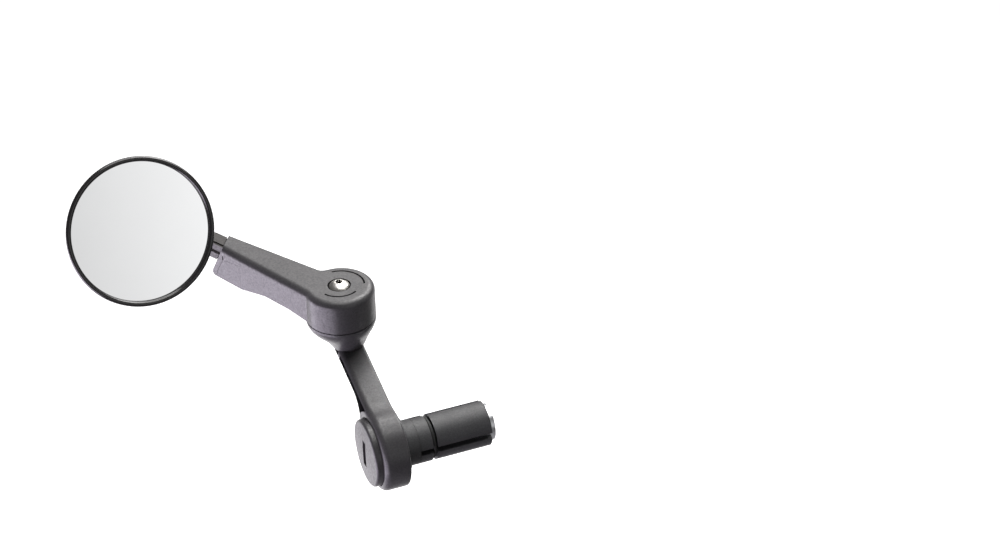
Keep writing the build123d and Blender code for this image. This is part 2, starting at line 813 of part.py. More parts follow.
# Housing: recess for the pad, rim behind the bezel, domed back and boss with a round cavity
with BuildPart() as mirror_housing:
    with BuildSketch(mirror_section) as housing_section:
        with BuildLine():
            Polyline(
                (0, floor_front),
                (pad_radius + shadow_gap, floor_front),
                (pad_radius + shadow_gap, rim_front),
                (rim_radius, rim_front),
                (rim_radius, dome_start),
            )
            ThreePointArc(
                (rim_radius, dome_start),
                (rim_radius - housing_swell_inset, dome_start - housing_swell),
                (socket_radius, -housing_back_depth),
            )
            Polyline(
                (socket_radius, -housing_back_depth),
                (socket_radius, socket_end),
                (0, socket_end),
                (0, floor_front),
            )
        make_face()
        fillet(housing_section.vertices().sort_by_distance((rim_radius, dome_start))[0], housing_round)
    revolve(axis=mirror_axis)
    with Locations(ball_plane.location):
        Sphere(cavity_radius, mode=Mode.SUBTRACT)
mirror_housing.part.label = "mirror_housing"
export_step(mirror_housing.part, "parts/mirror_housing.step")

# Liner: a round shell between ball and housing, open to the stud and to the front
liner_inner = ball_radius + ball_clearance
liner_outer = liner_inner + liner_thickness
with BuildPart() as socket_liner:
    with Locations(ball_plane.location):
        Sphere(liner_outer)
        Sphere(liner_inner, mode=Mode.SUBTRACT)
    with BuildSketch(ball_plane):
        Circle(liner_inner * sin(radians(liner_mouth_angle)))
    extrude(amount=-liner_outer, mode=Mode.SUBTRACT)
    with BuildSketch(ball_plane):
        Circle(liner_inner * sin(radians(liner_front_angle)))
    extrude(amount=liner_outer, mode=Mode.SUBTRACT)
socket_liner.part.label = "socket_liner"
export_step(socket_liner.part, "parts/socket_liner.step")

# Nut: fluted collar that holds the ball in the boss
nut_inner = socket_radius + running_clearance
nut_outer = nut_inner + nut_wall
nut_front = -housing_back_depth - nut_gap
mouth = radians(socket_mouth_angle)
mouth_radius = cavity_radius * sin(mouth)
mouth_depth = -ball_depth - cavity_radius * cos(mouth)
nut_back = mouth_depth - nut_lip
seat_start = socket_end - face_gap
seat_radius = sqrt(cavity_radius**2 - (seat_start + ball_depth) ** 2)
seat_angle = degrees(asin((-ball_depth - seat_start) / cavity_radius))
with BuildPart() as socket_nut:
    with BuildSketch(mirror_section):
        with BuildLine():
            Polyline(
                (seat_radius, seat_start),
                (nut_inner, seat_start),
                (nut_inner, nut_front),
                (nut_outer, nut_front),
                (nut_outer, nut_back + nut_shoulder),
                (nut_outer - nut_shoulder, nut_back),
                (mouth_radius, nut_back),
                (mouth_radius, mouth_depth),
            )
            seat_sweep = 90 - socket_mouth_angle - seat_angle
            CenterArc((0, -ball_depth), cavity_radius, socket_mouth_angle - 90, seat_sweep)
        make_face()
    revolve(axis=mirror_axis)
    with BuildSketch(Plane(origin=mirror_origin, x_dir=mirror_right, z_dir=mirror_normal).offset(nut_back)):
        with PolarLocations(nut_outer + nut_flute_radius - nut_flute_depth, nut_flutes):
            Circle(nut_flute_radius)
    extrude(amount=nut_front - nut_back, mode=Mode.SUBTRACT)
socket_nut.part.label = "socket_nut"
export_step(socket_nut.part, "parts/socket_nut.step")
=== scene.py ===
"""Looks of a bar end mirror: convex glass in a thin bead, folding arm, lever and expander plug."""

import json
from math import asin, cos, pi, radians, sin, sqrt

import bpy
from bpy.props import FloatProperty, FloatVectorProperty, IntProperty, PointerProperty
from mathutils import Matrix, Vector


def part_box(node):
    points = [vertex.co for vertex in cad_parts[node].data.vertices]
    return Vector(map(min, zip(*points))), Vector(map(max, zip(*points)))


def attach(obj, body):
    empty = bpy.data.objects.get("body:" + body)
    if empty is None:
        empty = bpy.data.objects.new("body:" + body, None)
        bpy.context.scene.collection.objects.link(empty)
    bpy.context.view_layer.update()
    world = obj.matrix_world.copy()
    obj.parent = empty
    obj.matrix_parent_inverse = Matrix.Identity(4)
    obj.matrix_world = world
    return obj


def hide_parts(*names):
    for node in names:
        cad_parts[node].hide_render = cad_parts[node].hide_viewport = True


bl_info = {
    "name": "Bar End Mirror",
    "version": (1, 0, 0),
    "blender": (4, 5, 0),
    "location": "View3D > Sidebar > Bar Mirror",
    "description": "Dresses the packed bar end mirror and sets it on a studio stage",
    "category": "Object",
}

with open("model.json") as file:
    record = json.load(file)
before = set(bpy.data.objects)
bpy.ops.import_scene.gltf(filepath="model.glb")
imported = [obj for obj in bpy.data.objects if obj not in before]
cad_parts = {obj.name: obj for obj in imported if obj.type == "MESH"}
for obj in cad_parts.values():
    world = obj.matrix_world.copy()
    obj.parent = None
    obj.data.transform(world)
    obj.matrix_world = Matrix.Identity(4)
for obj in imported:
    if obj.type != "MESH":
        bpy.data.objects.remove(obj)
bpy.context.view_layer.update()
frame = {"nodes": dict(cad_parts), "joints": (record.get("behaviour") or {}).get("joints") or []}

MM = 0.001
MERGE_DISTANCE = 1e-6
SMOOTH_ANGLE = radians(32)
PLASTIC_GLOSS = 0.3
GRAIN_STRENGTH = 0.6
MARK_STRENGTH = 0.5
CLOUD_SIZE = 14 * MM
NOISE_RANGE = (0.3, 0.7)
# Painted shade: black put into the screw's socket and the recess round its head, where those hollows fall
# dark.
RECESS_SHADE_BLACK = (0.003, 0.003, 0.003, 1)
TOP_SKIN = 0.06 * MM
SOCKET_FLATS = 0.88
SOCKET_FLOOR_SKIN = 0.2 * MM
ARC_STEPS = 64
SCREW_STEPS = 96

# The lamps face this point. Each has a name, a heading, a distance, a width, a height,
# a radiance and a colour.
STAGE_MIDDLE = (-0.035, 0.05, 0.04)
SOFTBOXES = (
    ("back_softbox", (0.2, 0.81, 0.55), 0.85, 0.5, 0.5, 2.6, (1.0, 0.985, 0.97)),
    ("top_softbox", (0.28, 0.08, 0.95), 0.7, 0.65, 0.75, 5.0, (1.0, 0.99, 0.98)),
    ("right_softbox", (0.6, 0.42, 0.68), 0.75, 0.55, 0.55, 8.0, (1.0, 0.99, 0.98)),
    ("left_softbox", (-0.86, -0.105, -0.5), 0.6, 1.0, 0.45, 6.6, (0.92, 0.84, 1.0)),
    ("low_softbox", (-0.25, 0.8, -0.5), 0.6, 0.45, 0.4, 0.25, (0.97, 0.93, 1.0)),
)

# A pale card that the glass reflects, brighter to its right, in a dimmer room.
CARD_HEADING = (0.28, -0.934, 0.22)
CARD_CORE = radians(11)
CARD_REACH = radians(26)
CARD_SIDES = (0.153, 0.402)
CARD_SHADES = (0.74, 0.96)
ROOM_LIGHT = 0.14

# The floor is white behind the part and grey in front of it, where only its reflection is seen.
FLOOR_FADE = (0.05, 0.42)
FLOOR_GLOW = 0.75


def joint_named(name):
    """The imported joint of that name."""
    return next(joint for joint in frame["joints"] if joint["name"] == name)


def mirror_frame():
    """Place of the mirror's front plane: x to its right, y up the glass, z the way the glass faces."""
    right = Vector(joint_named("head_tilt")["axis"]).normalized()
    up = Vector(joint_named("head_pan")["axis"]).normalized()
    facing = right.cross(up).normalized()
    sizes = bpy.context.scene.bar_mirror_sizes
    origin = Vector(joint_named("head_tilt")["pos_m"]) + facing * sizes.ball_depth
    place = Matrix((right, facing.cross(right), facing)).transposed().to_4x4()
    place.translation = origin
    return place


def knuckle_frame():
    """Place of the knuckle's seam: z runs up the screw."""
    return Matrix.Translation(joint_named("knuckle_fold")["pos_m"])


class BARMIRROR_PG_sizes(bpy.types.PropertyGroup):
    """Sizes of the pieces that are modelled here."""

    ball_depth: FloatProperty(
        name="Ball depth",
        description="From the mirror's front plane back to the ball's centre",
        default=13.5 * MM,
        unit="LENGTH",
    )
    glass_radius: FloatProperty(
        name="Glass radius",
        description="Outer radius of the glass",
        default=27.35 * MM,
        unit="LENGTH",
    )
    glass_curvature: FloatProperty(
        name="Glass curvature",
        description="Radius of the convex face",
        default=500 * MM,
        unit="LENGTH",
    )
    glass_front: FloatProperty(
        name="Glass front",
        description="Depth of the glass's edge behind the bead",
        default=1.7 * MM,
        unit="LENGTH",
    )
    glass_thickness: FloatProperty(
        name="Glass thickness",
        description="Thickness of the glass",
        default=1.8 * MM,
        unit="LENGTH",
    )
    glass_edge: FloatProperty(
        name="Ground edge",
        description="Width of the glass's ground edge",
        default=0.25 * MM,
        unit="LENGTH",
    )
    bezel_radius: FloatProperty(
        name="Bead radius",
        description="Outer radius of the bead",
        default=29.2 * MM,
        unit="LENGTH",
    )
    bezel_opening: FloatProperty(
        name="Bead opening",
        description="Radius of the opening over the glass",
        default=27.1 * MM,
        unit="LENGTH",
    )
    bezel_inner: FloatProperty(
        name="Bead bore",
        description="Radius inside the bead, behind its lip",
        default=27.5 * MM,
        unit="LENGTH",
    )
    bezel_back: FloatProperty(
        name="Bead back radius",
        description="Outer radius at the bead's back",
        default=28.3 * MM,
        unit="LENGTH",
    )
    bezel_lip: FloatProperty(
        name="Bead lip",
        description="Depth of the lip over the glass",
        default=1.6 * MM,
        unit="LENGTH",
    )
    bezel_depth: FloatProperty(
        name="Bead depth",
        description="Depth of the bead over all",
        default=3.8 * MM,
        unit="LENGTH",
    )
    screw_seat: FloatProperty(
        name="Screw seat",
        description="Height of the screw head's seat over the seam",
        default=12.95 * MM,
        unit="LENGTH",
    )
    screw_head_radius: FloatProperty(
        name="Screw head radius",
        description="Radius of the screw's head",
        default=4.0 * MM,
        unit="LENGTH",
    )
    screw_head_height: FloatProperty(
        name="Screw head height",
        description="Height of the domed head",
        default=2.5 * MM,
        unit="LENGTH",
    )
    screw_head_skirt: FloatProperty(
        name="Screw head skirt",
        description="Straight edge below the dome",
        default=0.6 * MM,
        unit="LENGTH",
    )
    screw_socket_radius: FloatProperty(
        name="Socket radius",
        description="Radius to the socket's corners",
        default=1.5 * MM,
        unit="LENGTH",
    )
    screw_socket_depth: FloatProperty(
        name="Socket depth", description="Depth of the socket", default=1.3 * MM, unit="LENGTH"
    )
    screw_edge_round: FloatProperty(
        name="Screw edge round",
        description="Rounding of the screw's edges",
        default=0.12 * MM,
        unit="LENGTH",
    )
    screw_shank_radius: FloatProperty(
        name="Shank radius",
        description="Radius of the screw's shank",
        default=2.0 * MM,
        unit="LENGTH",
    )
    screw_length: FloatProperty(
        name="Screw length", description="Length of the shank", default=16.0 * MM, unit="LENGTH"
    )
    # The recess round the screw is painted black as shade, out to this reach and down to this depth.
    recess_reach: FloatProperty(
        name="Recess reach",
        description="Radius of the blackened recess round the screw",
        default=5.0 * MM,
        unit="LENGTH",
    )
    recess_depth: FloatProperty(
        name="Recess depth",
        description="How far down the recess is blackened",
        default=0.9 * MM,
        unit="LENGTH",
    )
    groove_width: FloatProperty(
        name="Groove width",
        description="Width of the black arcs",
        default=0.75 * MM,
        unit="LENGTH",
    )
    groove_depth: FloatProperty(
        name="Groove depth",
        description="Depth of the black arcs",
        default=0.2 * MM,
        unit="LENGTH",
    )
    groove_film: FloatProperty(
        name="Groove film",
        description="How far the black stands over the top",
        default=0.012 * MM,
        unit="LENGTH",
    )
    outer_arc_radius: FloatProperty(
        name="Outer arc radius",
        description="Radius of the arc behind the screw",
        default=9.6 * MM,
        unit="LENGTH",
    )
    outer_arc_start: FloatProperty(
        name="Outer arc start",
        description="Where that arc starts",
        default=radians(-16.65),
        subtype="ANGLE",
    )
    outer_arc_sweep: FloatProperty(
        name="Outer arc sweep",
        description="How far that arc runs",
        default=radians(105),
        subtype="ANGLE",
    )
    inner_arc_radius: FloatProperty(
        name="Inner arc radius",
        description="Radius of the arc in front of the screw",
        default=7.9 * MM,
        unit="LENGTH",
    )
    inner_arc_start: FloatProperty(
        name="Inner arc start",
        description="Where that arc starts",
        default=radians(207.35),
        subtype="ANGLE",
    )
    inner_arc_sweep: FloatProperty(
        name="Inner arc sweep",
        description="How far that arc runs",
        default=radians(97),
        subtype="ANGLE",
    )
    ring_steps: IntProperty(
        name="Ring steps", description="Steps round a turned piece", default=192, min=24
    )


class BARMIRROR_PG_finishes(bpy.types.PropertyGroup):
    """Colours of the finishes."""

    arm_grey: FloatVectorProperty(
        name="Arm grey",
        description="Grained plastic of arm, lever and cap",
        default=(0.04, 0.0385, 0.041),
        subtype="COLOR",
    )
    stem_grey: FloatVectorProperty(
        name="Stem grey",
        description="Satin plastic of the stem",
        default=(0.03, 0.0275, 0.027),
        subtype="COLOR",
    )
    bead_black: FloatVectorProperty(
        name="Bead black",
        description="Polished plastic of the bead",
        default=(0.011, 0.0102, 0.0104),
        subtype="COLOR",
    )
    housing_black: FloatVectorProperty(
        name="Housing black",
        description="Grained back of the mirror",
        default=(0.028, 0.028, 0.03),
        subtype="COLOR",
    )
    plug_black: FloatVectorProperty(
        name="Plug black",
        description="Moulded collar and jaws",
        default=(0.032, 0.032, 0.034),
        subtype="COLOR",
    )
    # Painted shade: the black that stands for the shade inside the grooves of the arcs.
    groove_shade_black: FloatVectorProperty(
        name="Groove black",
        description="Black of the arcs round the screw",
        default=(0.004, 0.004, 0.004),
        subtype="COLOR",
    )
    silver: FloatVectorProperty(
        name="Silvering",
        description="Silver behind the glass",
        default=(0.93, 0.935, 0.94),
        subtype="COLOR",
    )
    stainless: FloatVectorProperty(
        name="Stainless",
        description="Bright screw",
        default=(0.6, 0.585, 0.56),
        subtype="COLOR",
    )
    zinc: FloatVectorProperty(
        name="Zinc",
        description="Plated bolt and washers",
        default=(0.56, 0.57, 0.6),
        subtype="COLOR",
    )
    aluminium: FloatVectorProperty(
        name="Aluminium", description="Turned cone", default=(0.64, 0.65, 0.67), subtype="COLOR"
    )
    brass: FloatVectorProperty(
        name="Brass",
        description="Threaded insert",
        default=(0.72, 0.52, 0.22),
        subtype="COLOR",
    )
    natural: FloatVectorProperty(
        name="Natural plastic",
        description="Undyed bearing plastic",
        default=(0.66, 0.63, 0.55),
        subtype="COLOR",
    )
    rubber: FloatVectorProperty(
        name="Rubber",
        description="Ring and foam",
        default=(0.016, 0.016, 0.016),
        subtype="COLOR",
    )


class BARMIRROR_PG_stage(bpy.types.PropertyGroup):
    """Camera, floor and lamps."""

    azimuth: FloatProperty(
        name="Azimuth",
        description="Camera's turn about the upright",
        default=radians(-21.490332),
        subtype="ANGLE",
    )
    elevation: FloatProperty(
        name="Elevation",
        description="Camera's height as an angle",
        default=radians(33.746879),
        subtype="ANGLE",
    )
    roll: FloatProperty(
        name="Roll",
        description="Camera's roll",
        default=radians(-1.202467),
        subtype="ANGLE",
    )
    offset: FloatVectorProperty(
        name="Offset",
        description="The origin as the camera sees it",
        default=(-37.2799 * MM, -66.4902 * MM, -899.8010 * MM),
        subtype="TRANSLATION",
    )
    lens: FloatProperty(
        name="Lens",
        description="Focal length in millimetres on a 36 mm frame",
        default=85.0,
    )
    floor_drop: FloatProperty(
        name="Floor drop",
        description="Floor below the bar's axis",
        default=500 * MM,
        unit="LENGTH",
    )
    floor_size: FloatProperty(
        name="Floor size",
        description="Side of the floor",
        default=8.0,
        unit="LENGTH",
    )
    floor_white: FloatVectorProperty(
        name="Floor white",
        description="Floor behind the part",
        default=(0.9, 0.9, 0.9),
        subtype="COLOR",
    )
    floor_front: FloatVectorProperty(
        name="Floor front",
        description="Floor in front of the part",
        default=(0.3, 0.3, 0.3),
        subtype="COLOR",
    )


def piece_name(piece, name):
    """Names a new piece and its mesh."""
    piece.name = name
    piece.data.name = name


def draw_profile(name, points):
    """A line through points given as (out, up), drawn in the XZ plane by extruding one vertex."""
    bpy.ops.object.select_all(action="DESELECT")
    bpy.ops.mesh.primitive_plane_add(size=MM, location=(0, 0, 0))
    piece = bpy.context.object
    piece_name(piece, name)
    bpy.ops.object.mode_set(mode="EDIT")
    bpy.ops.mesh.select_all(action="SELECT")
    bpy.ops.mesh.merge(type="CENTER")
    bpy.ops.transform.translate(value=(points[0][0], 0, points[0][1]))
    for before, after in zip(points, points[1:]):
        step = (after[0] - before[0], 0, after[1] - before[1])
        bpy.ops.mesh.extrude_vertices_move(TRANSFORM_OT_translate={"value": step})
    return piece


def turn_profile(name, points, steps):
    """A turned piece: the profile spun a full turn about the upright, closed and left in object mode."""
    piece = draw_profile(name, points)
    bpy.ops.mesh.select_all(action="SELECT")
    bpy.ops.mesh.spin(steps=steps, angle=2 * pi, center=(0, 0, 0), axis=(0, 0, 1))
    bpy.ops.mesh.select_all(action="SELECT")
    bpy.ops.mesh.remove_doubles(threshold=MERGE_DISTANCE)
    bpy.ops.mesh.normals_make_consistent(inside=False)
    bpy.ops.object.mode_set(mode="OBJECT")
    return piece


def sweep_profile(name, points, sweep, steps):
    """An arc of a turned piece, with its two ends closed, left in object mode."""
    piece = draw_profile(name, points)
    bpy.ops.mesh.select_all(action="SELECT")
    bpy.ops.mesh.remove_doubles(threshold=MERGE_DISTANCE)
    bpy.ops.mesh.spin(steps=steps, angle=-sweep, center=(0, 0, 0), axis=(0, 0, 1))
    bpy.ops.mesh.select_all(action="SELECT")
    bpy.ops.mesh.fill_holes(sides=len(points))
    bpy.ops.mesh.select_all(action="SELECT")
    bpy.ops.mesh.normals_make_consistent(inside=False)
    bpy.ops.object.mode_set(mode="OBJECT")
    return piece


def settle(piece, place):
    """Puts a finished piece in its place, with the place in its mesh, and smooths its round faces."""
    bpy.ops.object.select_all(action="DESELECT")
    piece.select_set(True)
    bpy.context.view_layer.objects.active = piece
    piece.matrix_world = place
    bpy.ops.object.transform_apply(location=True, rotation=True, scale=True)
    bpy.ops.object.shade_smooth_by_angle(angle=SMOOTH_ANGLE)


def cut_away(piece, cutter):
    """Cuts one solid out of another and removes the cutter."""
    bpy.ops.object.select_all(action="DESELECT")
    piece.select_set(True)
    bpy.context.view_layer.objects.active = piece
    cut = piece.modifiers.new("cut", "BOOLEAN")
    cut.operation = "DIFFERENCE"
    cut.solver = "EXACT"
    cut.object = cutter
    bpy.ops.object.modifier_apply(modifier=cut.name)
    bpy.data.objects.remove(cutter)


def soften_edges(piece, width, segments):
    """Rounds the sharp edges of a piece by a bevel."""
    bpy.context.view_layer.objects.active = piece
    bevel = piece.modifiers.new("soft edges", "BEVEL")
    bevel.width = width
    bevel.segments = segments
    bevel.limit_method = "ANGLE"
    bevel.angle_limit = SMOOTH_ANGLE
    bpy.ops.object.modifier_apply(modifier=bevel.name)


def seat_piece(piece, body, node, material):
    """Hands a finished piece over: what it rides on, what it stands for and its finish."""
    piece.data.materials.clear()
    piece.data.materials.append(material)
    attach(piece, body)
    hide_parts(node)


def dress_node(node, material):
    """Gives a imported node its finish."""
    slots = frame["nodes"][node].data.materials
    slots.clear()
    slots.append(material)


def blank_material(name):
    """A material with its shader and the piece's own coordinates."""
    material = bpy.data.materials.new(name)
    material.use_nodes = True
    nodes = material.node_tree.nodes
    shader = nodes["Principled BSDF"]
    coordinates = nodes.new("ShaderNodeTexCoord")
    return material, nodes, material.node_tree.links, shader, coordinates


def noise(nodes, links, coordinates, size, detail):
    """A noise whose blotches are about that size across."""
    texture = nodes.new("ShaderNodeTexNoise")
    texture.inputs["Scale"].default_value = 1 / size
    texture.inputs["Detail"].default_value = detail
    links.new(coordinates.outputs["Object"], texture.inputs["Vector"])
    return texture.outputs["Fac"]


def spread(nodes, links, value, low, high):
    """A noise's middle range spread from low to high."""
    scale = nodes.new("ShaderNodeMapRange")
    scale.inputs["From Min"].default_value = NOISE_RANGE[0]
    scale.inputs["From Max"].default_value = NOISE_RANGE[1]
    scale.inputs["To Min"].default_value = low
    scale.inputs["To Max"].default_value = high
    links.new(value, scale.inputs["Value"])
    return scale.outputs["Result"]


def shade_of(nodes, links, value, colour, change):
    """The colour, a little darker and lighter with the noise."""
    mix = nodes.new("ShaderNodeMix")
    mix.data_type = "RGBA"
    links.new(value, mix.inputs["Factor"])
    mix.inputs["A"].default_value = [channel * (1 - change) for channel in colour] + [1]
    mix.inputs["B"].default_value = [channel * (1 + change) for channel in colour] + [1]
    return mix.outputs["Result"]


def bump(nodes, links, value, depth, strength):
    """A height turned into a normal."""
    node = nodes.new("ShaderNodeBump")
    node.inputs["Distance"].default_value = depth
    node.inputs["Strength"].default_value = strength
    links.new(value, node.inputs["Height"])
    return node.outputs["Normal"]


def grained_plastic(
    name, colour, grain=0.7 * MM, depth=0.02 * MM, roughness=0.36, change=0.1, gloss=PLASTIC_GLOSS
):
    """Moulded plastic with a fine spark grain, whose pits give back less light than its tips."""
    material, nodes, links, shader, coordinates = blank_material(name)
    grit = noise(nodes, links, coordinates, grain, 3)
    cloud = spread(nodes, links, noise(nodes, links, coordinates, CLOUD_SIZE, 2), 0, 1)
    links.new(shade_of(nodes, links, cloud, colour, change), shader.inputs["Base Color"])
    links.new(spread(nodes, links, grit, gloss * 0.65, gloss * 1.35), shader.inputs["Specular IOR Level"])
    links.new(spread(nodes, links, grit, roughness + 0.06, roughness - 0.06), shader.inputs["Roughness"])
    links.new(bump(nodes, links, grit, depth, GRAIN_STRENGTH), shader.inputs["Normal"])
    return material


def joined(nodes, links, operation, first, second):
    """Two values joined by a piece of arithmetic; a plain number stands for itself."""
    node = nodes.new("ShaderNodeMath")
    node.operation = operation
    for socket, value in zip(node.inputs, (first, second)):
        if isinstance(value, (int, float)):
            socket.default_value = value
        else:
            links.new(value, socket)
    return node.outputs[0]


def paint_recess_shade(material, middle, reach, depth):
    """Blackens what lies a little below a round top, as painted shade: the screw's recess and its socket.
    """
    nodes = material.node_tree.nodes
    links = material.node_tree.links
    shader = nodes["Principled BSDF"]
    coordinates = nodes["Texture Coordinate"]
    centred = nodes.new("ShaderNodeMapping")
    centred.inputs["Location"].default_value = -middle
    links.new(coordinates.outputs["Object"], centred.inputs["Vector"])
    split = nodes.new("ShaderNodeSeparateXYZ")
    links.new(centred.outputs["Vector"], split.inputs[0])
    across = joined(nodes, links, "MULTIPLY", split.outputs["X"], split.outputs["X"])
    along = joined(nodes, links, "MULTIPLY", split.outputs["Y"], split.outputs["Y"])
    near = joined(nodes, links, "LESS_THAN", joined(nodes, links, "ADD", across, along), reach * reach)
    below = joined(nodes, links, "LESS_THAN", split.outputs["Z"], -TOP_SKIN)
    above = joined(nodes, links, "GREATER_THAN", split.outputs["Z"], -depth)
    inside = joined(nodes, links, "MULTIPLY", joined(nodes, links, "MULTIPLY", near, below), above)
    # Painted shade: the colour is mixed to black inside the hollow.
    recess_shade = nodes.new("ShaderNodeMix")
    recess_shade.data_type = "RGBA"
    links.new(inside, recess_shade.inputs["Factor"])
    links.new(shader.inputs["Base Color"].links[0].from_socket, recess_shade.inputs["A"])
    recess_shade.inputs["B"].default_value = RECESS_SHADE_BLACK
    links.new(recess_shade.outputs["Result"], shader.inputs["Base Color"])
    rough = joined(nodes, links, "MAXIMUM", shader.inputs["Roughness"].links[0].from_socket, inside)
    links.new(rough, shader.inputs["Roughness"])


def bare_metal(name, colour, roughness, grain=0.2 * MM, depth=0.004 * MM, change=0.06):
    """Turned or plated metal with faint tool marks."""
    material, nodes, links, shader, coordinates = blank_material(name)
    shader.inputs["Metallic"].default_value = 1
    marks = noise(nodes, links, coordinates, grain, 4)
    cloud = noise(nodes, links, coordinates, 3 * MM, 3)
    clouded = spread(nodes, links, cloud, 0, 1)
    links.new(shade_of(nodes, links, clouded, colour, change), shader.inputs["Base Color"])
    links.new(spread(nodes, links, cloud, roughness * 0.8, roughness * 1.25), shader.inputs["Roughness"])
    links.new(bump(nodes, links, marks, depth, MARK_STRENGTH), shader.inputs["Normal"])
    return material


def painted_shade_black(name, colour):
    """Painted shade: black that gives nothing back, standing for the shade at the bottom of a groove."""
    material, nodes, links, shader, coordinates = blank_material(name)
    shader.inputs["Specular IOR Level"].default_value = 0.05
    shader.inputs["Roughness"].default_value = 0.9
    dust = spread(nodes, links, noise(nodes, links, coordinates, 0.4 * MM, 2), 0, 1)
    links.new(shade_of(nodes, links, dust, colour, 0.4), shader.inputs["Base Color"])
    return material


def silvered_glass(name, colour):
    """Silver seen through glass: a clear mirror with the faintest haze."""
    material, nodes, links, shader, coordinates = blank_material(name)
    shader.inputs["Metallic"].default_value = 1
    haze = noise(nodes, links, coordinates, 9 * MM, 3)
    hazed = spread(nodes, links, haze, 0, 1)
    links.new(shade_of(nodes, links, hazed, colour, 0.004), shader.inputs["Base Color"])
    links.new(spread(nodes, links, haze, 0.015, 0.03), shader.inputs["Roughness"])
    return material


def arc_points(centre, radius, start, end, steps):
    """Points of an arc in the profile's plane, angles from outwards towards up."""
    turns = [start + (end - start) * step / steps for step in range(steps + 1)]
    return [(centre[0] + radius * cos(turn), centre[1] + radius * sin(turn)) for turn in turns]


class BARMIRROR_OT_glass(bpy.types.Operator):
    """Model the convex mirror glass"""

    bl_idname = "barmirror.glass"
    bl_label = "Mirror glass"

    def execute(self, context):
        sizes = context.scene.bar_mirror_sizes
        half = sizes.glass_radius / sizes.glass_curvature
        sag = sizes.glass_curvature * (1 - sqrt(1 - half * half))
        steps = 24
        points = []
        for step in range(steps + 1):
            out = (sizes.glass_radius - sizes.glass_edge) * step / steps
            drop = sizes.glass_curvature - sqrt(sizes.glass_curvature**2 - out**2)
            points.append((out, sag - sizes.glass_front - drop))
        points.append((sizes.glass_radius, -sizes.glass_front - sizes.glass_edge))
        points.append((sizes.glass_radius, -sizes.glass_front - sizes.glass_thickness))
        points.append((0, sag - sizes.glass_front - sizes.glass_thickness))
        piece = turn_profile("convex_glass", points, sizes.ring_steps)
        settle(piece, mirror_frame())
        material = silvered_glass("silvered glass", context.scene.bar_mirror_finishes.silver)
        seat_piece(piece, "head", "mirror_glass", material)
        return {"FINISHED"}


class BARMIRROR_OT_bezel(bpy.types.Operator):
    """Model the thin rounded bead that holds the glass"""

    bl_idname = "barmirror.bezel"
    bl_label = "Bezel bead"

    def execute(self, context):
        sizes = context.scene.bar_mirror_sizes
        crown = (sizes.bezel_radius - sizes.bezel_opening) / 2
        centre = (sizes.bezel_opening + crown, -crown)
        points = arc_points(centre, crown, 0, pi, 20)
        points += [
            (sizes.bezel_opening, -sizes.bezel_lip),
            (sizes.bezel_inner, -sizes.bezel_lip),
            (sizes.bezel_inner, -sizes.bezel_depth),
            (sizes.bezel_back, -sizes.bezel_depth),
        ]
        points.append(points[0])
        piece = turn_profile("bezel_bead", points, sizes.ring_steps)
        settle(piece, mirror_frame())
        material = grained_plastic(
            "polished bead",
            context.scene.bar_mirror_finishes.bead_black,
            grain=0.3 * MM,
            depth=0.002 * MM,
            roughness=0.2,
            change=0.08,
            gloss=0.5,
        )
        seat_piece(piece, "head", "bezel_ring", material)
        return {"FINISHED"}


class BARMIRROR_OT_knuckle_screw(bpy.types.Operator):
    """Model the domed socket screw of the knuckle"""

    bl_idname = "barmirror.knuckle_screw"
    bl_label = "Knuckle screw"

    def execute(self, context):
        sizes = context.scene.bar_mirror_sizes
        top = sizes.screw_seat + sizes.screw_head_height
        rise = sizes.screw_head_height - sizes.screw_head_skirt
        dome = (sizes.screw_head_radius**2 + rise**2) / (2 * rise)
        half = asin(sizes.screw_head_radius / dome)
        points = arc_points((0, top - dome), dome, pi / 2, pi / 2 - half, 14)
        points += [
            (sizes.screw_head_radius, sizes.screw_seat),
            (sizes.screw_shank_radius, sizes.screw_seat),
            (sizes.screw_shank_radius, sizes.screw_seat - sizes.screw_length),
            (0, sizes.screw_seat - sizes.screw_length),
        ]
        piece = turn_profile("domed_screw", points, SCREW_STEPS)
        bpy.ops.object.select_all(action="DESELECT")
        bpy.ops.mesh.primitive_cylinder_add(
            vertices=6,
            radius=sizes.screw_socket_radius,
            depth=2 * sizes.screw_socket_depth,
            location=(0, 0, top),
        )
        cut_away(piece, context.object)
        soften_edges(piece, sizes.screw_edge_round, 2)
        settle(piece, knuckle_frame())
        material = bare_metal("bright stainless", context.scene.bar_mirror_finishes.stainless, 0.3)
        # Painted shade: the socket below the head's top is painted black across its flats and down past its
        # floor.
        head_top = Vector(joint_named("knuckle_fold")["pos_m"]) + Vector((0, 0, top))
        flats = SOCKET_FLATS * sizes.screw_socket_radius
        paint_recess_shade(material, head_top, flats, sizes.screw_socket_depth + SOCKET_FLOOR_SKIN)
        seat_piece(piece, "arm_base", "knuckle_screw", material)
        return {"FINISHED"}


class BARMIRROR_OT_groove_arcs(bpy.types.Operator):
    """Model the two black arcs round the knuckle screw: strips painted black as the shade inside engraved
    grooves
    """

    bl_idname = "barmirror.groove_arcs"
    bl_label = "Groove arcs"

    def execute(self, context):
        sizes = context.scene.bar_mirror_sizes
        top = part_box("upper_arm")[1][2] - joint_named("knuckle_fold")["pos_m"][2]
        low, high = top - sizes.groove_depth, top + sizes.groove_film
        # The arcs are painted black as the shade inside engraved grooves.
        black = painted_shade_black("groove black", context.scene.bar_mirror_finishes.groove_shade_black)
        arcs = (
            ("outer_arc", sizes.outer_arc_radius, sizes.outer_arc_start, sizes.outer_arc_sweep),
            ("inner_arc", sizes.inner_arc_radius, sizes.inner_arc_start, sizes.inner_arc_sweep),
        )
        for name, radius, start, sweep in arcs:
            inside, outside = radius - sizes.groove_width / 2, radius + sizes.groove_width / 2
            points = [(inside, low), (outside, low), (outside, high), (inside, high), (inside, low)]
            piece = sweep_profile(name, points, sweep, ARC_STEPS)
            settle(piece, knuckle_frame() @ Matrix.Rotation(start, 4, "Z"))
            piece.data.materials.clear()
            piece.data.materials.append(black)
            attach(piece, "fold_arm")
        return {"FINISHED"}


